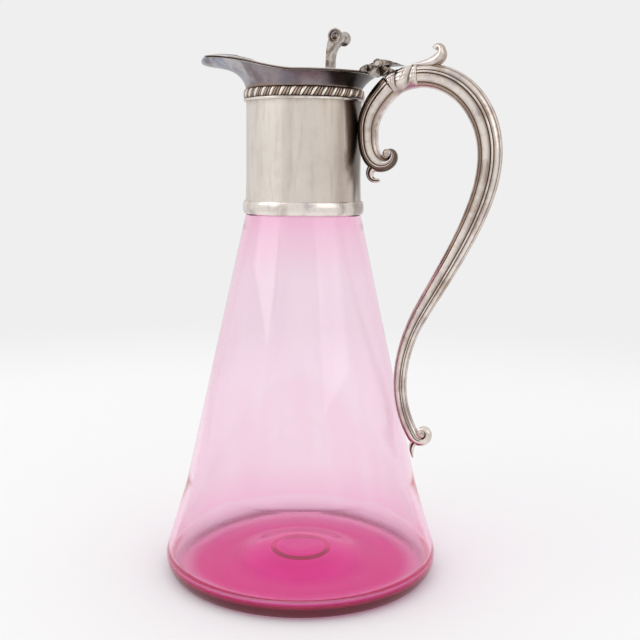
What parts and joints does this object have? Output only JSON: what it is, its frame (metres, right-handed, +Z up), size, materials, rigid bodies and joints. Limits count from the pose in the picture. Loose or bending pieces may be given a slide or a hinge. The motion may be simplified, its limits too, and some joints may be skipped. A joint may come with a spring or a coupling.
{
  "type": "claret jug",
  "caption": "Cone-shaped pink glass jug in a silver mount with gadrooned collar, pouring spout, hinged lid with thumbpiece and reeded scroll handle.",
  "frame": {"origin": "on the jug's axis, in the plane of the flat ring that it stands on", "axes": "+Z up along the glass body's axis, spout towards -X, handle towards +X, the hinge pin along Y"},
  "size_m": [0.1669, 0.1384, 0.268],
  "materials": {
    "rose_glass": "mould-blown pink glass, deeper in the thick floor",
    "plaster": "set plaster of Paris, matt",
    "satin_silver": "silver, satin from years of polishing, faint vertical streaks",
    "bright_silver": "polished silver",
    "oxidised_silver": "silver, tarnish left in the grooves",
    "tarnished_silver": "silver with a thin grey-violet tarnish",
    "cast_silver": "cast and chased silver, warm tone, dark in the grooves"
  },
  "bodies": {
    "jug": {"glass_body": "rose_glass", "plaster_bed": "plaster", "collar_sleeve": "satin_silver", "foot_ring": "satin_silver", "flat_wire": "bright_silver", "gadroon_ring": "oxidised_silver", "spout_mouth": "tarnished_silver", "hinge_bracket": "oxidised_silver", "hinge_pin": "bright_silver", "handle_c_scroll": "cast_silver", "acanthus_knot": "cast_silver", "handle_arm": "cast_silver", "thumb_rest": "cast_silver", "tail_scroll": "cast_silver"},
    "lid": {"lid": "tarnished_silver", "thumbpiece": "bright_silver", "lid_hinge_strap": "tarnished_silver"}
  },
  "joints": [
    {"name": "lid_hinge", "type": "hinge", "parent": "jug", "child": "lid", "pos_m": [0.0392, 0, 0.2515], "axis": [0, 1, 0], "range_deg": [0, 95]}
  ]
}
